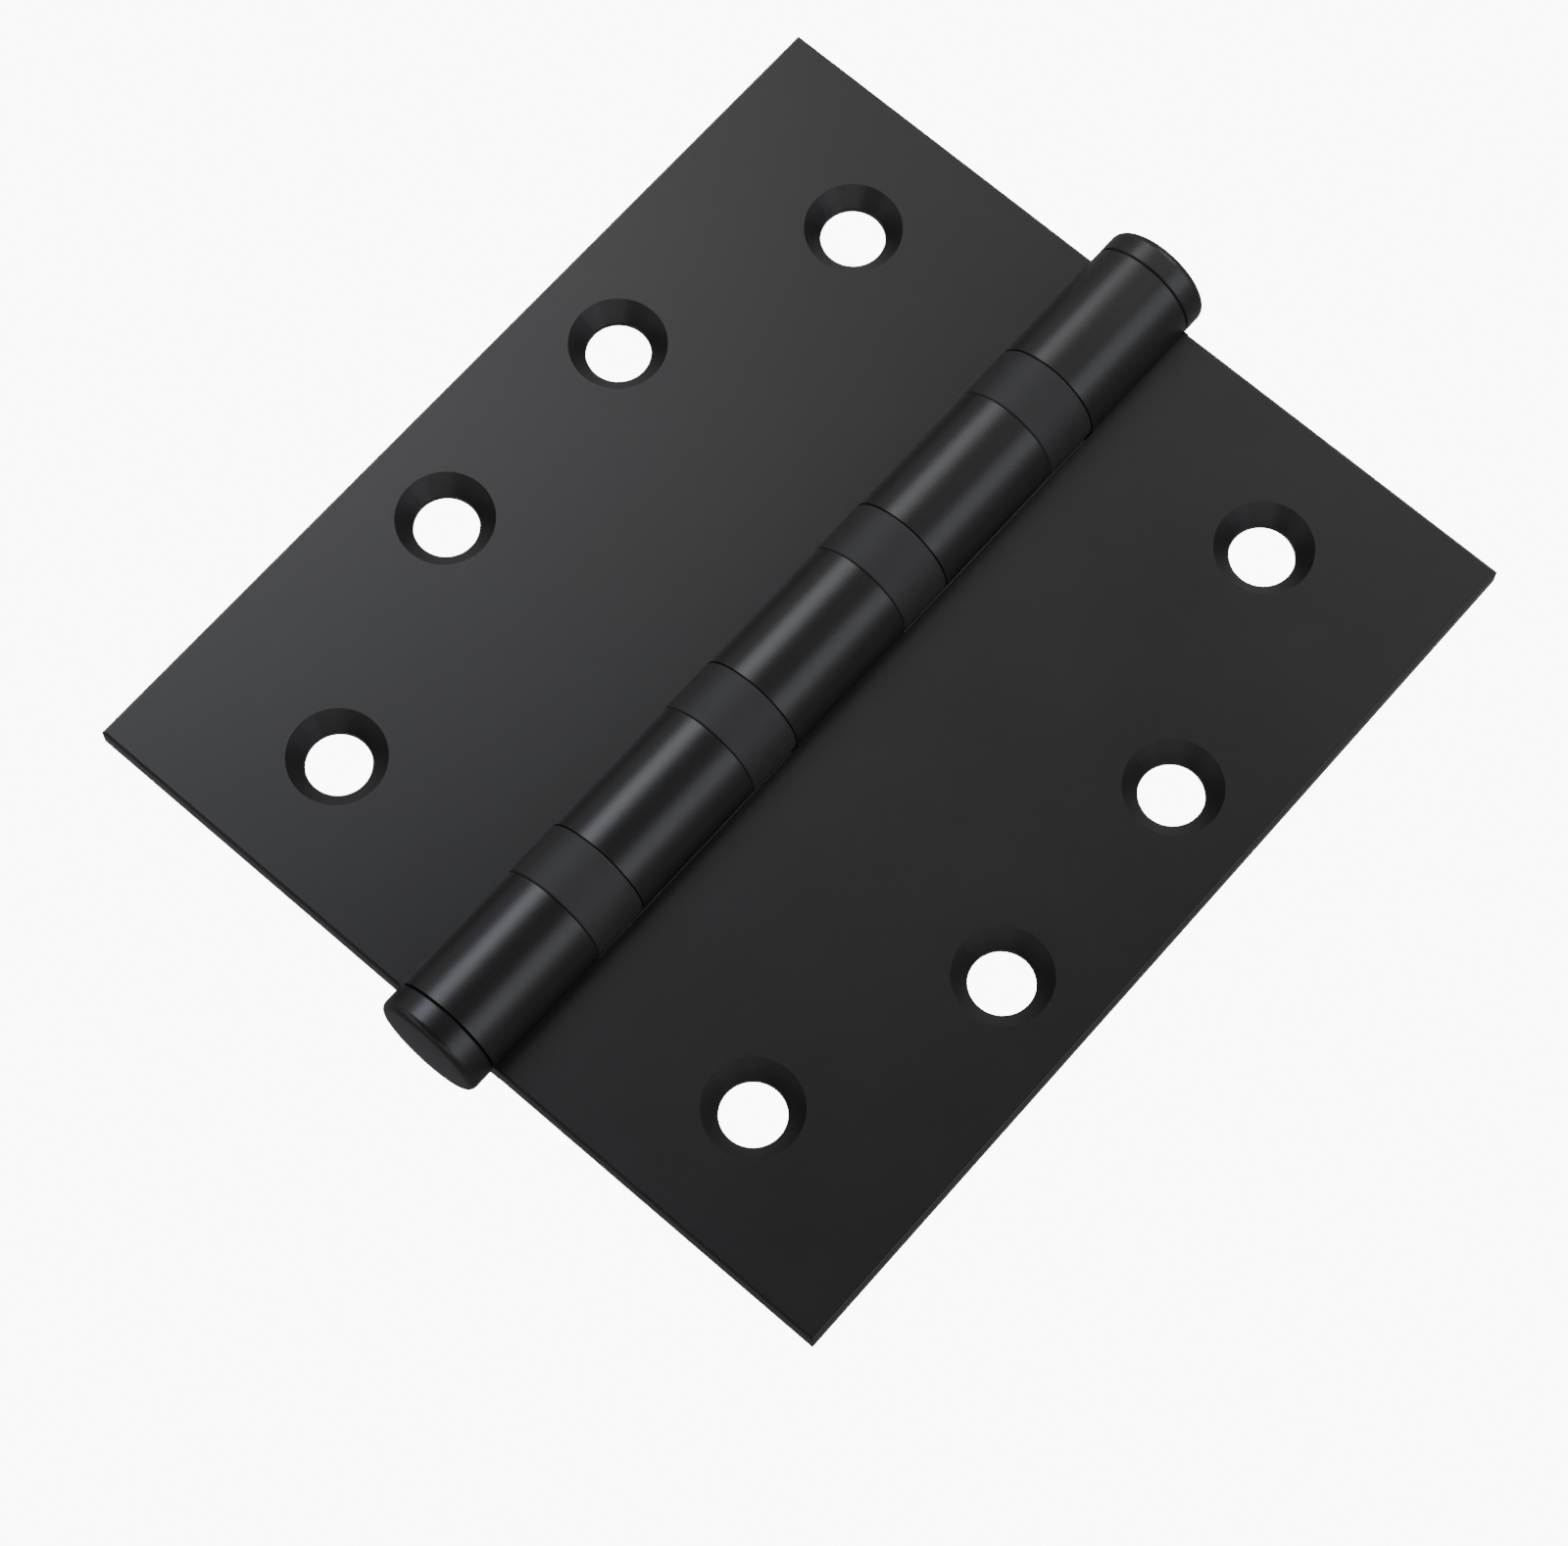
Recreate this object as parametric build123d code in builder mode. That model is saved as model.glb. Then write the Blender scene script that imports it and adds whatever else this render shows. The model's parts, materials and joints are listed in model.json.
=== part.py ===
"""Five-knuckle ball-bearing butt hinge, opened flat with its countersunk faces up.

The pin lies along Y with its head at +Y, the frame leaf reaches to +X and the door leaf to -X.
The origin is on the pin axis at the middle of the barrel. All sizes are in millimetres.
"""
import os
from math import sqrt

from build123d import *

# Leaves
leaf_height = 114.3
hinge_width = 101.6
leaf_thickness = 3.0
closed_gap = 1.6
leaf_edge_break = 0.3

# Pin and rolled barrel
pin_diameter = 7.0
pin_clearance = 0.05
roll_seam = 0.25
swage_radius = 2.0
notch_clearance = 0.5

# Knuckles and bearings along the pin
end_knuckle_length = 16.35
bearing_height = 7.2
bearing_end_play = 0.05

# Buttons at the two ends of the pin
button_height = 3.7
button_edge_radius = 0.9
button_crown = 0.35
button_seat_chamfer = 0.35
tip_spigot_length = 8.0
tip_end_gap = 0.3

# Bearing pieces
sleeve_wall = 0.5
sleeve_edge_radius = 0.3
race_gap = 1.1
race_pin_clearance = 0.08
race_sleeve_clearance = 0.1
ball_diameter = 1.5
ball_count = 10
ball_clearance = 0.06
cage_face_clearance = 0.2
cage_side_clearance = 0.1

# Screw holes
hole_diameter = 7.4
countersink_diameter = 11.2
countersink_angle = 82.0
end_hole_from_axis = 29.8
end_hole_spacing = 85.0
middle_hole_from_axis = 40.1
middle_hole_spacing = 28.4

# Places that follow from the sizes above
pin_radius = pin_diameter / 2
bore_radius = pin_radius + pin_clearance
barrel_radius = bore_radius + leaf_thickness
notch_edge = barrel_radius + notch_clearance
leaf_edge = hinge_width / 2
leaf_top = -closed_gap / 2
leaf_bottom = leaf_top - leaf_thickness
barrel_end = leaf_height / 2
middle_knuckle_length = (leaf_height - 2 * end_knuckle_length - 4 * bearing_height) / 3
knuckle_pitch = middle_knuckle_length + bearing_height
middle_knuckle_ends = [place * knuckle_pitch + middle_knuckle_length / 2 for place in (1, 0, -1)]
frame_knuckles = [
    (middle_knuckle_ends[0] + bearing_height, barrel_end),
    (-middle_knuckle_length / 2, middle_knuckle_length / 2),
    (-barrel_end, -middle_knuckle_ends[0] - bearing_height),
]
door_knuckles = [
    (middle_knuckle_ends[0] - middle_knuckle_length, middle_knuckle_ends[0]),
    (middle_knuckle_ends[2] - middle_knuckle_length, middle_knuckle_ends[2]),
]
bearing_centres = [
    middle_knuckle_ends[0] + bearing_height / 2,
    middle_knuckle_ends[1] + bearing_height / 2,
    middle_knuckle_ends[2] + bearing_height / 2,
    middle_knuckle_ends[2] - middle_knuckle_length - bearing_height / 2,
]
hole_points = [
    (end_hole_from_axis, end_hole_spacing / 2),
    (middle_hole_from_axis, middle_hole_spacing / 2),
    (middle_hole_from_axis, -middle_hole_spacing / 2),
    (end_hole_from_axis, -end_hole_spacing / 2),
]

# Bearing radii and half height
stack_half = bearing_height / 2 - bearing_end_play
race_face = race_gap / 2
race_thickness = stack_half - race_face
cage_thickness = race_gap - 2 * cage_face_clearance
sleeve_bore = barrel_radius - sleeve_wall
race_bore = pin_radius + race_pin_clearance
ball_radius = ball_diameter / 2
ball_circle = (race_bore + sleeve_bore) / 2
groove_radius = ball_radius + ball_clearance

os.makedirs("parts", exist_ok=True)


def save(piece, name):
    piece.part.label = name
    export_step(piece.part, f"parts/{name}.step")


def knuckle_section(side):
    """Section of a rolled knuckle: the strip leaves the plate, dips in a swage and rolls round the pin."""
    roll_end = leaf_top + roll_seam
    bend_centre = Vector(
        sqrt((barrel_radius + swage_radius) ** 2 - (leaf_bottom - swage_radius) ** 2),
        leaf_bottom - swage_radius,
    )
    bend_start = bend_centre + Vector(0, swage_radius)
    bend_end = bend_centre - bend_centre.normalized() * swage_radius
    bend_middle = bend_centre + (bend_start + bend_end - bend_centre * 2).normalized() * swage_radius
    outer_end = Vector(sqrt(barrel_radius**2 - roll_end**2), roll_end)
    inner_end = Vector(sqrt(bore_radius**2 - roll_end**2), roll_end)
    inner_start = Vector(sqrt(bore_radius**2 - leaf_top**2), leaf_top)

    def place(point):
        return side * point.X, point.Y

    with BuildLine() as strip:
        Polyline(
            place(inner_start),
            (side * notch_edge, leaf_top),
            (side * notch_edge, leaf_bottom),
            place(bend_start),
        )
        ThreePointArc(place(bend_start), place(bend_middle), place(bend_end))
        ThreePointArc(place(bend_end), (-side * barrel_radius, 0), place(outer_end))
        Line(place(outer_end), place(inner_end))
        ThreePointArc(place(inner_end), (-side * bore_radius, 0), place(inner_start))
    make_face(strip.edges())


def make_leaf(name, side, knuckles):
    """One folded leaf: flat plate, swaged roots and rolled knuckles; side is +1 at +X, -1 at -X."""
    with BuildPart() as leaf:
        with BuildSketch(Plane.XY.offset(leaf_bottom)):
            with Locations((side * (notch_edge + leaf_edge) / 2, 0)):
                Rectangle(leaf_edge - notch_edge, leaf_height)
        extrude(amount=leaf_thickness)
        rim = leaf.edges().filter_by(Axis.Z, reverse=True).filter_by(
            lambda edge: abs(edge.center().X) > notch_edge + leaf_edge_break)
        fillet(rim, radius=leaf_edge_break)
        for low, high in knuckles:
            with BuildSketch(Plane.XZ.offset(-high)):
                knuckle_section(side)
            extrude(amount=high - low)
        with Locations(Plane.XY.offset(leaf_top)):
            with Locations([(side * x, y) for x, y in hole_points]):
                CounterSinkHole(
                    hole_diameter / 2,
                    countersink_diameter / 2,
                    depth=leaf_thickness,
                    counter_sink_angle=countersink_angle,
                )
    save(leaf, name)


def button_profile(seat, outward, shank_radius, shank_end):
    """Half section of a crowned button on its shank, in radius and height along the pin."""
    top = seat + outward * button_height
    shoulder = top - outward * button_crown
    with BuildLine() as outline:
        Polyline(
            (0, top),
            (0, shank_end),
            (shank_radius, shank_end),
            (shank_radius, seat),
            (barrel_radius - button_seat_chamfer, seat),
            (barrel_radius, seat + outward * button_seat_chamfer),
            (barrel_radius, shoulder),
        )
        ThreePointArc(
            (barrel_radius, shoulder),
            (barrel_radius / 2, top - outward * button_crown / 4),
            (0, top),
        )
    make_face(outline.edges())


def make_pin():
    """Turned pin with its button head in one piece."""
    pin_end = -barrel_end + tip_spigot_length + tip_end_gap
    with BuildPart() as pin:
        with BuildSketch(Plane.XY):
            button_profile(barrel_end, 1, pin_radius, pin_end)
        revolve(axis=Axis.Y)
        fillet(pin.edges().filter_by(Edge.is_closed).sort_by(Axis.Y)[-1], radius=button_edge_radius)
    save(pin, "hinge_pin")


def make_tip():
    """Button plug pressed into the bottom of the lowest knuckle."""
    with BuildPart() as tip:
        with BuildSketch(Plane.XY):
            button_profile(-barrel_end, -1, bore_radius, -barrel_end + tip_spigot_length)
        revolve(axis=Axis.Y)
        fillet(tip.edges().filter_by(Edge.is_closed).sort_by(Axis.Y)[0], radius=button_edge_radius)
    save(tip, "bottom_tip")


def make_race(name, centre, outward, outer_radius):
    """Grooved race washer; outward is the way along Y from the balls to its flat face."""
    with BuildPart() as race:
        with BuildSketch(Plane.XY):
            with Locations(((race_bore + outer_radius) / 2, centre + outward * (stack_half + race_face) / 2)):
                Rectangle(outer_radius - race_bore, race_thickness)
            with Locations((ball_circle, centre)):
                Circle(groove_radius, mode=Mode.SUBTRACT)
        revolve(axis=Axis.Y)
    save(race, name)


def make_bearing(number, centre):
    """One sealed thrust bearing: sleeve, two races, ball cage and balls."""
    prefix = f"bearing_{number}"
    ball_plane = Plane.XZ.offset(-centre)

    with BuildPart() as sleeve:
        with BuildSketch(Plane.XZ.offset(-centre - stack_half)):
            Circle(barrel_radius)
            Circle(sleeve_bore, mode=Mode.SUBTRACT)
        extrude(amount=2 * stack_half)
        rims = sleeve.edges().filter_by(GeomType.CIRCLE).sort_by(SortBy.RADIUS)[-2:]
        fillet(rims, radius=sleeve_edge_radius)
    save(sleeve, f"{prefix}_sleeve")

    make_race(f"{prefix}_upper_race", centre, 1, sleeve_bore - race_sleeve_clearance)
    make_race(f"{prefix}_lower_race", centre, -1, sleeve_bore)

    with BuildPart() as cage:
        with BuildSketch(ball_plane):
            Circle(sleeve_bore - cage_side_clearance)
            Circle(pin_radius + cage_side_clearance, mode=Mode.SUBTRACT)
            with PolarLocations(ball_circle, ball_count):
                Circle(groove_radius, mode=Mode.SUBTRACT)
        extrude(amount=cage_thickness / 2, both=True)
    save(cage, f"{prefix}_cage")

    with BuildPart() as balls:
        with Locations(ball_plane):
            with PolarLocations(ball_circle, ball_count):
                Sphere(ball_radius)
    save(balls, f"{prefix}_balls")


make_leaf("frame_leaf", 1, frame_knuckles)
make_leaf("door_leaf", -1, door_knuckles)
make_pin()
make_tip()
for bearing_index, bearing_centre in enumerate(bearing_centres, start=1):
    make_bearing(bearing_index, bearing_centre)
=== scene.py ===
"""Finish, bearing balls, stage and camera for a black ball-bearing door hinge."""
import json
from math import asin, cos, radians, sin

import bmesh
import bpy
from bpy.props import FloatProperty, FloatVectorProperty, IntProperty, PointerProperty
from mathutils import Matrix, Vector


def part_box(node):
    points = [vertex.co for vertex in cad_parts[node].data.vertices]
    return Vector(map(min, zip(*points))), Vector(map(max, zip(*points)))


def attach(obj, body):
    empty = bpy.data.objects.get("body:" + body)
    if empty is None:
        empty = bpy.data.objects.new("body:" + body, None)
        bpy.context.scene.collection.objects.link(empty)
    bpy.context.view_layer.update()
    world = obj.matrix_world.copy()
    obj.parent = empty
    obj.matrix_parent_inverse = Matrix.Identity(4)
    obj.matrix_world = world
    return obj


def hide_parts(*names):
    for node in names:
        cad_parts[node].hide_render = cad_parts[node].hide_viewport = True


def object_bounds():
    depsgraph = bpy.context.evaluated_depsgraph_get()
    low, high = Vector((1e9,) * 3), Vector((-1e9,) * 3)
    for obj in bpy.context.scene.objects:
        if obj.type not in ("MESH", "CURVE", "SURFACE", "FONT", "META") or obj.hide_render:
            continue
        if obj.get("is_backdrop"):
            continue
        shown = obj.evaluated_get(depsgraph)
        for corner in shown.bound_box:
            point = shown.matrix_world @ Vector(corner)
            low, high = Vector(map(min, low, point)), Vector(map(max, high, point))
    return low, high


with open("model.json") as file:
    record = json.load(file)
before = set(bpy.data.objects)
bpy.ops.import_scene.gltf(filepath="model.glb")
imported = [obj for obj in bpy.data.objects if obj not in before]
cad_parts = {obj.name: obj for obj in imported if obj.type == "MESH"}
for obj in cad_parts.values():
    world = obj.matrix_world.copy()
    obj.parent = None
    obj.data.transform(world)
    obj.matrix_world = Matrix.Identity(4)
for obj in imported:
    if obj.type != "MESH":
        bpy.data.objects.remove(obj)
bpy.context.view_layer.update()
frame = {"nodes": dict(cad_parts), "record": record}

bl_info = {
    "name": "Ball-bearing door hinge",
    "version": (1, 0, 0),
    "blender": (4, 5, 0),
    "location": "3D View > Sidebar > Hinge",
    "description": "Dresses the hinge's solids with their finishes and sets the studio around them",
    "category": "Object",
}

MM = 0.001
BEARINGS = (1, 2, 3, 4)
COAT_NAME = "satin_black_coat"
STEEL_NAME = "bearing_steel"

# Picture width in pixels and sensor width in millimetres
IMAGE_WIDTH = 1600
SENSOR_WIDTH = 36.0

# Softboxes: direction from the hinge, width and height in metres, power in watts
LIGHT_DISTANCE = 1.2
WHITE = (1.0, 1.0, 1.0)
COOL_WHITE = (0.90, 0.91, 1.0)
PALE_BLUE = (0.76, 0.79, 1.0)
SOFTBOXES = {
    "key_light": dict(direction=(-0.58, 0.30, 0.76), size=(0.45, 0.70), power=3.5, color=WHITE),
    "cool_light": dict(direction=(-0.66, 0.08, 0.75), size=(0.35, 0.50), power=2.4, color=PALE_BLUE),
    "back_light": dict(direction=(0.04, 0.68, 0.73), size=(0.80, 0.45), power=3.9, color=WHITE),
    "fill_light": dict(direction=(0.76, 0.20, 0.55), size=(1.30, 0.72), power=5.2, color=COOL_WHITE),
    "near_right_light": dict(direction=(0.62, -0.62, 0.48), size=(0.90, 0.35), power=1.1, color=WHITE),
    "near_left_light": dict(direction=(-0.62, -0.62, 0.48), size=(0.90, 0.35), power=1.1, color=WHITE),
}


class HingeFinish(bpy.types.PropertyGroup):
    """Colours and surface sizes of the hinge's finishes."""

    coat_color: FloatVectorProperty(
        name="Coat colour", description="Black coat of the leaves and knuckles",
        subtype="COLOR", size=3, min=0, max=1, default=(0.0120, 0.0120, 0.0125))
    coat_dark: FloatVectorProperty(
        name="Coat dark", description="Darker cloud in the black coat",
        subtype="COLOR", size=3, min=0, max=1, default=(0.0082, 0.0082, 0.0085))
    coat_roughness: FloatProperty(
        name="Coat roughness", description="Mean roughness of the satin coat",
        subtype="FACTOR", min=0, max=1, default=0.33)
    shell_color: FloatVectorProperty(
        name="Bearing shell colour", description="Duller black of the bearing sleeves",
        subtype="COLOR", size=3, min=0, max=1, default=(0.026, 0.026, 0.0262))
    shell_roughness: FloatProperty(
        name="Bearing shell roughness", description="Mean roughness of the bearing sleeves",
        subtype="FACTOR", min=0, max=1, default=0.60)
    grain_size: FloatProperty(
        name="Coat grain", description="Width of one fleck in the sprayed coat",
        subtype="DISTANCE", min=0.0001, max=0.01, default=0.00045)
    fleck_size: FloatProperty(
        name="Coat fleck", description="Width of one broader fleck in the sprayed coat",
        subtype="DISTANCE", min=0.0001, max=0.01, default=0.0018)
    cloud_size: FloatProperty(
        name="Coat cloud", description="Width of one slow change of tone in the coat",
        subtype="DISTANCE", min=0.001, max=0.2, default=0.022)
    leaf_grain_depth: FloatProperty(
        name="Leaf grain depth", description="Depth of the grain on the leaves and sleeves",
        subtype="DISTANCE", min=0, default=0.03 * MM, precision=5)
    pin_grain_depth: FloatProperty(
        name="Pin grain depth", description="Depth of the grain on the pin and tip",
        subtype="DISTANCE", min=0, default=0.02 * MM, precision=5)
    steel_color: FloatVectorProperty(
        name="Steel colour", description="Bare steel of the races and balls",
        subtype="COLOR", size=3, min=0, max=1, default=(0.56, 0.57, 0.58))
    nylon_color: FloatVectorProperty(
        name="Cage colour", description="Natural nylon of the ball cages",
        subtype="COLOR", size=3, min=0, max=1, default=(0.70, 0.67, 0.58))


class HingeBalls(bpy.types.PropertyGroup):
    """Sizes of the ball sets inside the bearings."""

    ball_radius: FloatProperty(
        name="Ball radius", description="Radius of one bearing ball", subtype="DISTANCE",
        min=0.0001, default=0.75 * MM, precision=5)
    ball_circle: FloatProperty(
        name="Ball circle", description="Radius of the circle through the balls' centres",
        subtype="DISTANCE", min=0.001, default=4.815 * MM, precision=5)
    ball_count: IntProperty(name="Balls", description="Balls in one bearing", min=3, default=10)
    ball_segments: IntProperty(
        name="Ball segments", description="Faces round one ball", min=3, default=24)
    ball_rings: IntProperty(
        name="Ball rings", description="Faces from pole to pole of one ball", min=3, default=16)


def mount_height(name):
    """Height of a named mounting face, from the pin axis."""
    mounts = frame["record"]["mounts"]
    return next(mount["pos_m"][2] for mount in mounts if mount["name"] == name)


class HingeNotches(bpy.types.PropertyGroup):
    """Sizes of the hollowed edges beside the other leaf's knuckles."""

    leaf_top: FloatProperty(
        name="Leaf face", description="Height of the countersunk face, from the pin axis",
        subtype="DISTANCE", default=-0.8 * MM, precision=5)
    leaf_bottom: FloatProperty(
        name="Leaf back", description="Height of the mounting face, from the pin axis",
        subtype="DISTANCE", default=mount_height("frame_leaf_back"), precision=5)
    notch_edge: FloatProperty(
        name="Notch edge", description="Straight edge of the notch, from the pin axis",
        subtype="DISTANCE", default=7.05 * MM, precision=5)
    hollow_clearance: FloatProperty(
        name="Hollow clearance", description="Gap between the hollowed edge and the barrel",
        subtype="DISTANCE", min=0, default=0.22 * MM, precision=5)
    end_play: FloatProperty(
        name="End play", description="Gap between a bearing and the knuckle beside it",
        subtype="DISTANCE", min=0, default=0.05 * MM, precision=5)
    arc_steps: IntProperty(name="Arc steps", description="Faces across the hollow", min=2, default=12)


class HingeStage(bpy.types.PropertyGroup):
    """Camera, floor and lights."""

    camera_place: FloatVectorProperty(
        name="Camera place", description="Where the camera stands", subtype="TRANSLATION",
        size=3, default=(0.1145, -0.1387, 0.4367))
    camera_aim: FloatVectorProperty(
        name="Camera aim", description="Point in the middle of the picture", subtype="TRANSLATION",
        size=3, default=(0.0076, -0.0122, -0.0008))
    camera_up_heading: FloatProperty(
        name="Camera up", description="Heading of the picture's upward direction, from +X",
        subtype="ANGLE", default=radians(131.15))
    focal_pixels: FloatProperty(
        name="Focal length in pixels", description="Focal length in a picture 1600 pixels wide",
        default=4440.0)
    floor_size: FloatProperty(
        name="Floor size", description="Side of the square floor", subtype="DISTANCE", default=6.0)
    floor_drop: FloatProperty(
        name="Floor drop", description="Room under the barrel for the door leaf to swing past flat",
        subtype="DISTANCE", min=0, default=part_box("door_leaf")[1][0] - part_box("door_leaf")[0][0])
    floor_grey: FloatProperty(
        name="Floor grey", description="Grey of the floor that throws light up under the hinge",
        subtype="FACTOR", min=0, max=1, default=0.30)
    backdrop: FloatProperty(
        name="Backdrop", description="Brightness of the white backdrop in the picture",
        min=0, default=10.0)
    horizon_light: FloatProperty(
        name="Horizon light", description="Light from all round, low down", min=0, default=0.45)
    overhead_light: FloatProperty(
        name="Overhead light", description="Light from straight above", min=0, default=0.03)
    fade_start: FloatProperty(
        name="Fade start", description="Height of a direction where the horizon light starts to fade",
        min=-1, max=1, default=0.30)
    fade_end: FloatProperty(
        name="Fade end", description="Height of a direction where only the overhead light is left",
        min=-1, max=1, default=0.80)


class Value:
    """A node socket that can be used in Python expressions."""

    def __init__(self, tree, socket):
        self.tree = tree
        self.socket = socket

    def math(self, operation, first, second):
        return self.tree.add("ShaderNodeMath", {"operation": operation}, {0: first, 1: second})

    def __add__(self, other):
        return self.math("ADD", self, other)

    def __radd__(self, other):
        return self.math("ADD", other, self)

    def __sub__(self, other):
        return self.math("SUBTRACT", self, other)

    def __rsub__(self, other):
        return self.math("SUBTRACT", other, self)

    def __mul__(self, other):
        return self.math("MULTIPLY", self, other)

    def __rmul__(self, other):
        return self.math("MULTIPLY", other, self)


class Tree:
    """The node tree of a material or a world, with one method that adds any node."""

    def __init__(self, owner, shader="Principled BSDF"):
        owner.use_nodes = True
        self.owner = owner
        self.nodes = owner.node_tree.nodes
        self.links = owner.node_tree.links
        self.shader = self.nodes[shader]

    def add(self, kind, settings=None, inputs=None, output=0):
        node = self.nodes.new(kind)
        for key, setting in (settings or {}).items():
            setattr(node, key, setting)
        for key, given in (inputs or {}).items():
            self.feed(node.inputs[key], given)
        return Value(self, node.outputs[output])

    def feed(self, socket, given):
        if isinstance(given, Value):
            self.links.new(given.socket, socket)
        else:
            socket.default_value = given

    def set(self, **inputs):
        for key, given in inputs.items():
            self.feed(self.shader.inputs[key.replace("_", " ")], given)

    def place(self, kind="Object"):
        return self.add("ShaderNodeTexCoord", output=kind)

    def noise(self, place, width, detail=2.0, breakup=0.55):
        return self.add("ShaderNodeTexNoise", {"noise_dimensions": "3D"}, {
            "Vector": place, "Scale": 1 / width, "Detail": detail, "Roughness": breakup}, "Fac")

    def mix(self, factor, first, second):
        """Blends two colours; the colour sockets of a Mix node are known by their places."""
        return self.add("ShaderNodeMix", {"data_type": "RGBA"},
                        {0: factor, 6: (*first, 1), 7: (*second, 1)}, 2)

    def bump(self, height, depth, strength):
        return self.add("ShaderNodeBump", None,
                        {"Height": height, "Distance": depth, "Strength": strength}, "Normal")


def coat_material(name, light, dark, roughness, grain_depth, finish):
    """Sprayed satin black: slow clouds of tone, fine grain and a slight change of gloss."""
    cloud_share = 0.7
    grain_share = 0.6
    cloud_gloss = 0.06
    grain_gloss = 0.05
    relief = 0.25
    tree = Tree(bpy.data.materials.new(name))
    place = tree.place()
    cloud = tree.noise(place, finish.cloud_size, detail=3.0)
    grain = tree.noise(place, finish.grain_size)
    fleck = tree.noise(place, finish.fleck_size, detail=1.0)
    tone = cloud_share * cloud + (1 - cloud_share) * fleck
    height = grain_share * grain + (1 - grain_share) * fleck
    tree.set(Base_Color=tree.mix(tone, dark, light))
    tree.set(Roughness=roughness - grain_gloss + cloud_gloss * cloud + grain_gloss * grain)
    tree.set(Normal=tree.bump(height, grain_depth, relief))
    return tree.owner


def darker(color, share):
    """A share of a colour's brightness."""
    return [share * channel for channel in color]


def steel_material(finish):
    """Ground bearing steel with fine turning marks round the pin."""
    marks_scale = 900.0
    marks_wander = 1.5
    marks_depth = 0.01 * MM
    marks_gloss = 0.10
    relief = 0.2
    cloud_size = 3 * MM
    cloud_shade = 0.82
    polish = 0.18
    tree = Tree(bpy.data.materials.new(STEEL_NAME))
    place = tree.place()
    marks = tree.add("ShaderNodeTexWave", {"wave_type": "RINGS", "rings_direction": "Y"}, {
        "Vector": place, "Scale": marks_scale, "Distortion": marks_wander}, "Fac")
    cloud = tree.noise(place, cloud_size)
    tree.set(Base_Color=tree.mix(cloud, darker(finish.steel_color, cloud_shade), finish.steel_color))
    tree.set(Roughness=polish + marks_gloss * marks)
    tree.set(Metallic=1.0)
    tree.set(Normal=tree.bump(marks, marks_depth, relief))
    return tree.owner


def nylon_material(finish):
    """Moulded natural nylon, faintly cloudy."""
    cloud_size = 1.5 * MM
    cloud_shade = 0.85
    grain_size = 0.3 * MM
    grain_depth = 0.02 * MM
    relief = 0.3
    polish = 0.42
    cloud_gloss = 0.12
    tree = Tree(bpy.data.materials.new("cage_nylon"))
    place = tree.place()
    cloud = tree.noise(place, cloud_size)
    tree.set(Base_Color=tree.mix(cloud, darker(finish.nylon_color, cloud_shade), finish.nylon_color))
    tree.set(Roughness=polish + cloud_gloss * cloud)
    tree.set(Normal=tree.bump(tree.noise(place, grain_size), grain_depth, relief))
    return tree.owner


def dress(node, material):
    """Gives a solid's only slot its finish."""
    mesh = frame["nodes"][node].data
    mesh.materials.clear()
    mesh.materials.append(material)


class HINGE_OT_leaves(bpy.types.Operator):
    """Coat both leaves with their rolled knuckles"""

    bl_idname = "hinge.leaves"
    bl_label = "Coat leaves"

    def execute(self, context):
        finish = context.scene.hinge_finish
        coat = coat_material(COAT_NAME, finish.coat_color, finish.coat_dark,
                             finish.coat_roughness, finish.leaf_grain_depth, finish)
        for node in ("frame_leaf", "door_leaf"):
            dress(node, coat)
        return {"FINISHED"}


def hollow_outline(sizes, side):
    """Section of the edge that follows the barrel, from the notch's straight edge inwards."""
    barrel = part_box("bearing_1_sleeve")[1][2]
    radius = barrel + sizes.hollow_clearance
    first, last = asin(sizes.leaf_top / radius), asin(sizes.leaf_bottom / radius)
    turns = [first + (last - first) * step / sizes.arc_steps for step in range(sizes.arc_steps + 1)]
    arc = [(side * radius * cos(turn), radius * sin(turn)) for turn in turns]
    back = [(side * sizes.notch_edge, height) for height in (sizes.leaf_bottom, sizes.leaf_top)]
    return arc + back


def prism(build, outline, start, end):
    """Adds a closed bar with that outline in X and Z, from start to end along the pin."""
    near = [build.verts.new((x, start, z)) for x, z in outline]
    far = [build.verts.new((x, end, z)) for x, z in outline]
    build.faces.new(near)
    build.faces.new(far[::-1])
    for index in range(len(outline)):
        build.faces.new((near[index - 1], near[index], far[index], far[index - 1]))


class HINGE_OT_notches(bpy.types.Operator):
    """Hollow the leaf edges that lie beside the other leaf's knuckles"""

    bl_idname = "hinge.notches"
    bl_label = "Hollow notches"

    def execute(self, context):
        sizes = context.scene.hinge_notches
        play = sizes.end_play
        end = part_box("frame_leaf")[1][1]
        low = {number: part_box(f"bearing_{number}_sleeve")[0][1] - play for number in BEARINGS}
        high = {number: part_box(f"bearing_{number}_sleeve")[1][1] + play for number in BEARINGS}
        notches = {
            "frame": (1, [(low[2], high[1]), (low[4], high[3])]),
            "door": (-1, [(low[1], end), (low[3], high[2]), (-end, high[4])]),
        }
        for leaf, (side, spans) in notches.items():
            build = bmesh.new()
            for start, stop in spans:
                prism(build, hollow_outline(sizes, side), start, stop)
            bmesh.ops.recalc_face_normals(build, faces=build.faces)
            mesh = bpy.data.meshes.new(f"{leaf}_notch_edges")
            build.to_mesh(mesh)
            build.free()
            mesh.materials.append(bpy.data.materials[COAT_NAME])
            edges = bpy.data.objects.new(f"{leaf}_notch_edges", mesh)
            context.scene.collection.objects.link(edges)
            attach(edges, f"{leaf}_side")
        return {"FINISHED"}


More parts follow.
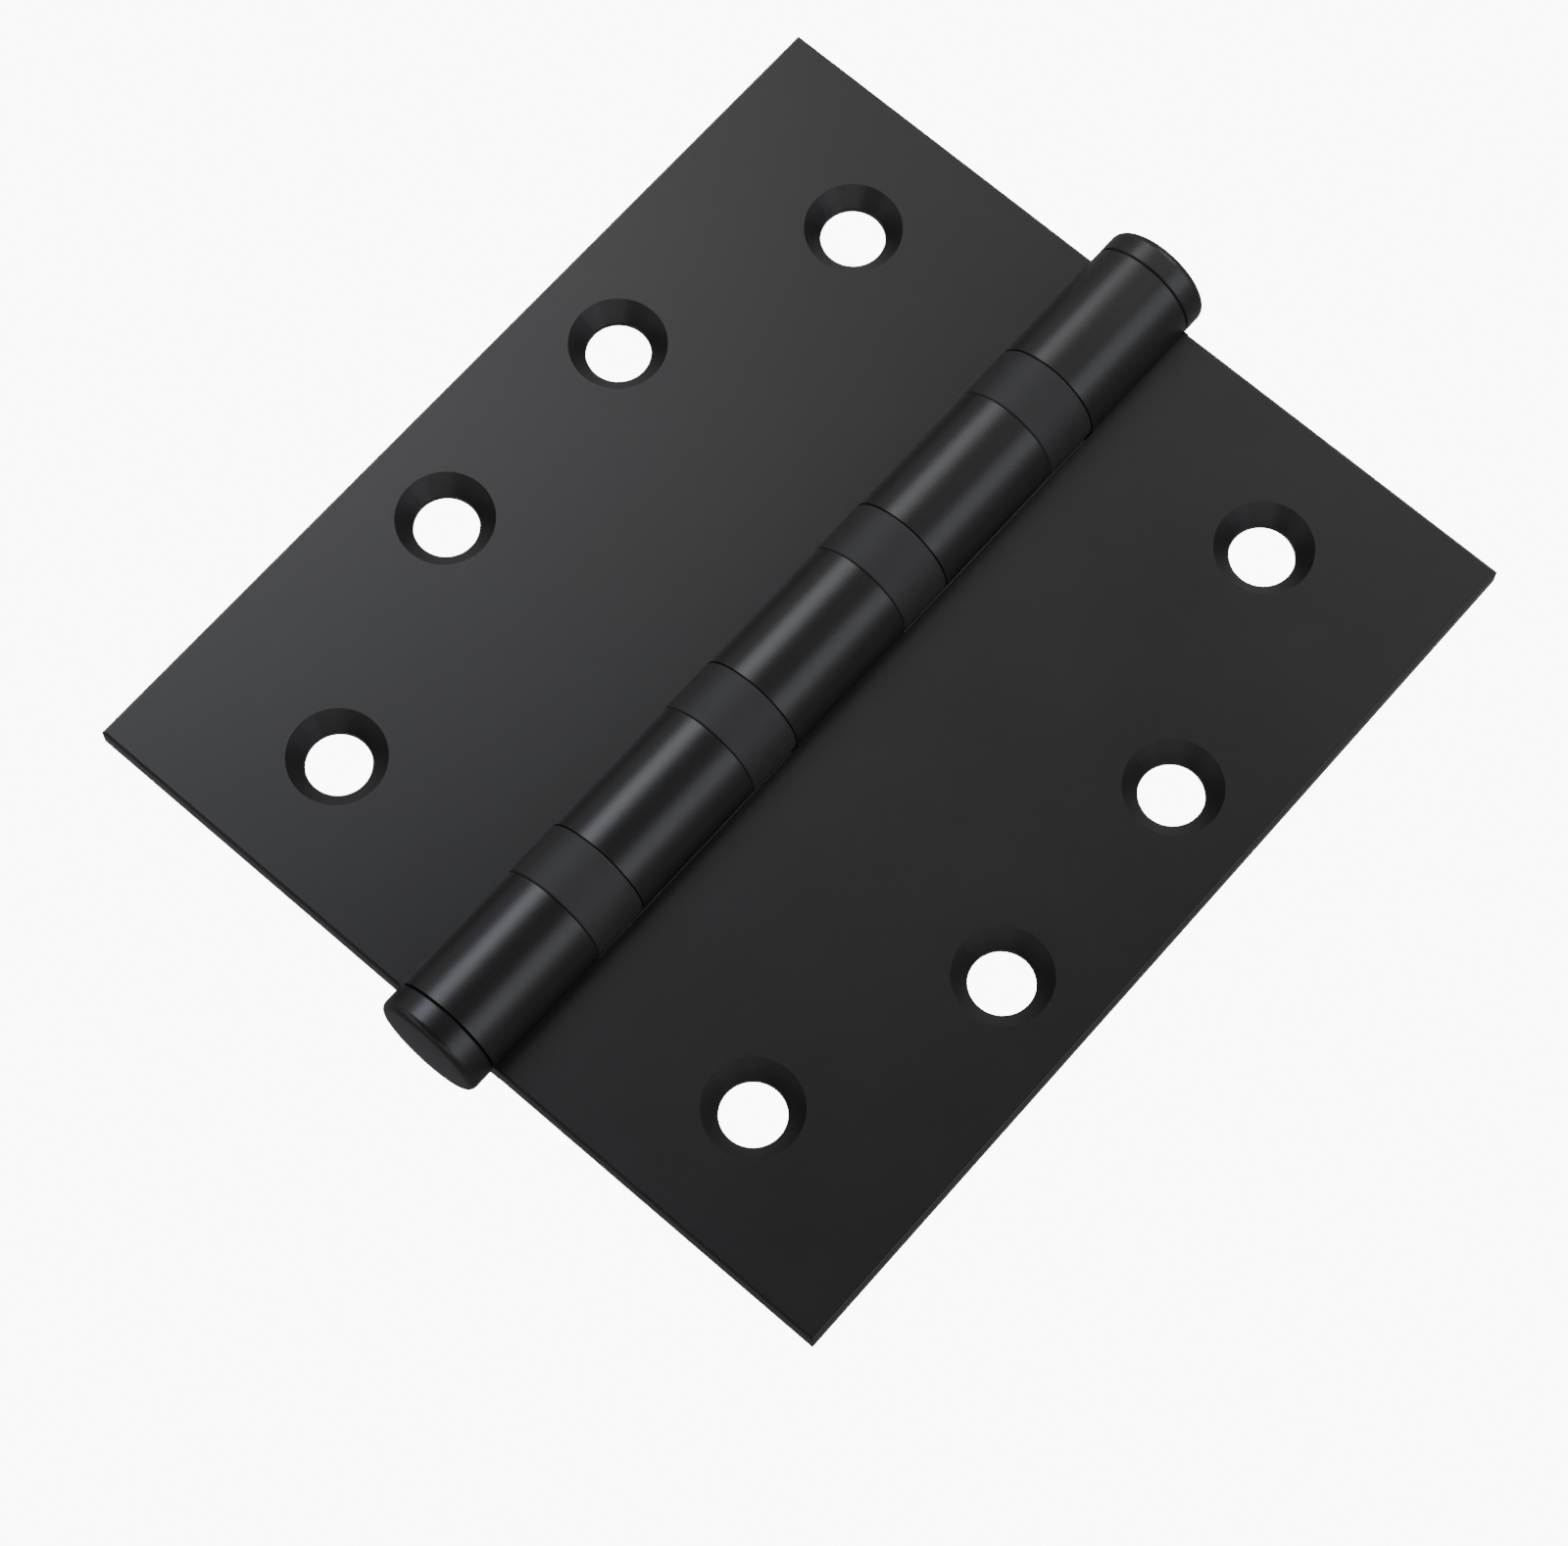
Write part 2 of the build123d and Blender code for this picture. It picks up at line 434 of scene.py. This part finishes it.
class HINGE_OT_pin(bpy.types.Operator):
    """Coat the pin with its head and the bottom tip"""

    bl_idname = "hinge.pin"
    bl_label = "Coat pin and tip"

    def execute(self, context):
        finish = context.scene.hinge_finish
        coat = coat_material("satin_black_pin", finish.coat_color, finish.coat_dark,
                             finish.coat_roughness, finish.pin_grain_depth, finish)
        for node in ("hinge_pin", "bottom_tip"):
            dress(node, coat)
        return {"FINISHED"}


class HINGE_OT_bearings(bpy.types.Operator):
    """Finish the bearing sleeves, races and cages"""

    bl_idname = "hinge.bearings"
    bl_label = "Finish bearings"

    def execute(self, context):
        finish = context.scene.hinge_finish
        shell = coat_material("dull_black_shell", finish.shell_color, finish.coat_dark,
                              finish.shell_roughness, finish.leaf_grain_depth, finish)
        steel = steel_material(finish)
        nylon = nylon_material(finish)
        for number in BEARINGS:
            dress(f"bearing_{number}_sleeve", shell)
            dress(f"bearing_{number}_upper_race", steel)
            dress(f"bearing_{number}_lower_race", steel)
            dress(f"bearing_{number}_balls", steel)
            dress(f"bearing_{number}_cage", nylon)
        return {"FINISHED"}


def ball_tree(material):
    """Geometry Nodes: balls spread evenly round the pin, at a given height along it."""
    tree = bpy.data.node_groups.new("ball_set", "GeometryNodeTree")
    tree.interface.new_socket("Geometry", in_out="OUTPUT", socket_type="NodeSocketGeometry")
    for name, kind in (("Ball radius", "NodeSocketFloat"), ("Ball circle", "NodeSocketFloat"),
                       ("Balls", "NodeSocketInt"), ("Height", "NodeSocketFloat"),
                       ("Segments", "NodeSocketInt"), ("Rings", "NodeSocketInt")):
        tree.interface.new_socket(name, in_out="INPUT", socket_type=kind)

    def add(kind, inputs):
        node = tree.nodes.new(kind)
        for name, given in inputs.items():
            if isinstance(given, bpy.types.NodeSocket):
                tree.links.new(given, node.inputs[name])
            else:
                node.inputs[name].default_value = given
        return node.outputs[0] if node.outputs else None

    sizes = tree.nodes.new("NodeGroupInput").outputs
    circle = add("GeometryNodeMeshCircle", {"Vertices": sizes["Balls"], "Radius": sizes["Ball circle"]})
    along_pin = add("ShaderNodeCombineXYZ", {"Y": sizes["Height"]})
    stood = add("GeometryNodeTransform", {
        "Geometry": circle, "Translation": along_pin, "Rotation": (radians(-90), 0, 0)})
    ball = add("GeometryNodeMeshUVSphere", {
        "Segments": sizes["Segments"], "Rings": sizes["Rings"], "Radius": sizes["Ball radius"]})
    smooth = add("GeometryNodeSetShadeSmooth", {"Geometry": ball})
    spread = add("GeometryNodeInstanceOnPoints", {"Points": stood, "Instance": smooth})
    real = add("GeometryNodeRealizeInstances", {"Geometry": spread})
    finished = add("GeometryNodeSetMaterial", {"Geometry": real, "Material": material})
    add("NodeGroupOutput", {"Geometry": finished})
    return tree


def socket_name(tree, name):
    """The identifier of a tree's named input."""
    return next(item.identifier for item in tree.interface.items_tree
                if item.name == name and item.in_out == "INPUT")


class HINGE_OT_balls(bpy.types.Operator):
    """Lay smooth balls in the four bearing cages"""

    bl_idname = "hinge.balls"
    bl_label = "Lay balls"

    def execute(self, context):
        sizes = context.scene.hinge_balls
        tree = ball_tree(bpy.data.materials[STEEL_NAME])
        for number in BEARINGS:
            node = f"bearing_{number}_balls"
            low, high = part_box(node)
            maker = bpy.data.objects.new(f"ball_maker_{number}", bpy.data.meshes.new("ball_maker"))
            context.scene.collection.objects.link(maker)
            modifier = maker.modifiers.new("Balls", "NODES")
            modifier.node_group = tree
            for name, size in (("Ball radius", sizes.ball_radius), ("Ball circle", sizes.ball_circle),
                               ("Balls", sizes.ball_count), ("Height", (low[1] + high[1]) / 2),
                               ("Segments", sizes.ball_segments), ("Rings", sizes.ball_rings)):
                modifier[socket_name(tree, name)] = size
            context.view_layer.update()
            evaluated = maker.evaluated_get(context.evaluated_depsgraph_get())
            mesh = bpy.data.meshes.new_from_object(evaluated)
            if not mesh.polygons:
                raise RuntimeError(f"no balls were made for bearing {number}")
            bpy.data.objects.remove(maker)
            balls = bpy.data.objects.new(f"steel_balls_{number}", mesh)
            context.scene.collection.objects.link(balls)
            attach(balls, f"ball_set_{number}")
            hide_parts(node)
        return {"FINISHED"}


def softbox(name, direction, size, power, color):
    """A rectangular studio light that looks at the hinge."""
    light = bpy.data.lights.new(name, "AREA")
    light.shape = "RECTANGLE"
    light.size, light.size_y = size
    light.energy = power
    light.color = color
    lamp = bpy.data.objects.new(name, light)
    toward = Vector(direction).normalized()
    lamp.location = toward * LIGHT_DISTANCE
    lamp.rotation_euler = toward.to_track_quat("Z", "Y").to_euler()
    return lamp


class HINGE_OT_stage(bpy.types.Operator):
    """Set the floor, the backdrop, the lights and the camera"""

    bl_idname = "hinge.stage"
    bl_label = "Set stage"

    def execute(self, context):
        stage = context.scene.hinge_stage
        self.lay_floor(context, stage)
        self.surround(context, stage)
        for name, settings in SOFTBOXES.items():
            context.scene.collection.objects.link(softbox(name, **settings))
        self.aim_camera(context, stage)
        return {"FINISHED"}

    def lay_floor(self, context, stage):
        """A grey floor that only throws light up, so the hinge can be seen from below too."""
        half = stage.floor_size / 2
        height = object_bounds()[0][2] - stage.floor_drop
        mesh = bpy.data.meshes.new("floor")
        mesh.from_pydata([(-half, -half, height), (half, -half, height), (half, half, height),
                          (-half, half, height)], [], [(0, 1, 2, 3)])
        tree = Tree(bpy.data.materials.new("grey_floor"))
        grey = stage.floor_grey
        tree.set(Base_Color=(grey, grey, grey, 1), Roughness=1.0, Specular_IOR_Level=0.0)
        mesh.materials.append(tree.owner)
        floor = bpy.data.objects.new("floor", mesh)
        floor.visible_camera = False
        context.scene.collection.objects.link(floor)
        floor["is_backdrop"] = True

    def surround(self, context, stage):
        """A white backdrop in a studio that is pale at the horizon and dark overhead."""
        tree = Tree(bpy.data.worlds.new("studio"), "Background")
        height = tree.add("ShaderNodeSeparateXYZ", None, {"Vector": tree.place("Generated")}, "Z")
        light = tree.add("ShaderNodeMapRange", {"interpolation_type": "SMOOTHSTEP"}, {
            "Value": height, "From Min": stage.fade_start, "From Max": stage.fade_end,
            "To Min": stage.horizon_light, "To Max": stage.overhead_light}, "Result")
        seen = tree.add("ShaderNodeLightPath", output="Is Camera Ray")
        tree.set(Color=(*WHITE, 1), Strength=light * (1 - seen) + stage.backdrop * seen)
        context.scene.world = tree.owner

    def aim_camera(self, context, stage):
        camera = bpy.data.cameras.new("camera")
        camera.sensor_width = SENSOR_WIDTH
        camera.lens = stage.focal_pixels / IMAGE_WIDTH * SENSOR_WIDTH
        eye = Vector(stage.camera_place)
        forward = (Vector(stage.camera_aim) - eye).normalized()
        heading = Vector((cos(stage.camera_up_heading), sin(stage.camera_up_heading), 0))
        right = forward.cross(heading).normalized()
        turn = Matrix((right, right.cross(forward), -forward)).transposed()
        viewer = bpy.data.objects.new("camera", camera)
        viewer.matrix_world = Matrix.Translation(eye) @ turn.to_4x4()
        context.scene.collection.objects.link(viewer)
        context.scene.camera = viewer


class HINGE_PT_panel(bpy.types.Panel):
    """Lists the hinge's steps in the sidebar"""

    bl_idname = "HINGE_PT_panel"
    bl_label = "Door hinge"
    bl_space_type = "VIEW_3D"
    bl_region_type = "UI"
    bl_category = "Hinge"

    def draw(self, context):
        for step in STEPS:
            self.layout.operator(step.bl_idname)
        for group in SETTINGS:
            settings = getattr(context.scene, group)
            for name in settings.__annotations__:
                self.layout.prop(settings, name)


STEPS = (
    HINGE_OT_leaves,
    HINGE_OT_notches,
    HINGE_OT_pin,
    HINGE_OT_bearings,
    HINGE_OT_balls,
    HINGE_OT_stage,
)
SETTINGS = {
    "hinge_finish": HingeFinish,
    "hinge_notches": HingeNotches,
    "hinge_balls": HingeBalls,
    "hinge_stage": HingeStage,
}


def register():
    for name, group in SETTINGS.items():
        bpy.utils.register_class(group)
        setattr(bpy.types.Scene, name, PointerProperty(type=group))
    for step in (*STEPS, HINGE_PT_panel):
        bpy.utils.register_class(step)


def unregister():
    for step in reversed((*STEPS, HINGE_PT_panel)):
        bpy.utils.unregister_class(step)
    for name, group in SETTINGS.items():
        delattr(bpy.types.Scene, name)
        bpy.utils.unregister_class(group)


def main():
    register()
    bpy.ops.hinge.leaves()
    bpy.ops.hinge.notches()
    bpy.ops.hinge.pin()
    bpy.ops.hinge.bearings()
    bpy.ops.hinge.balls()
    bpy.ops.hinge.stage()


if __name__ == "__main__":
    main()
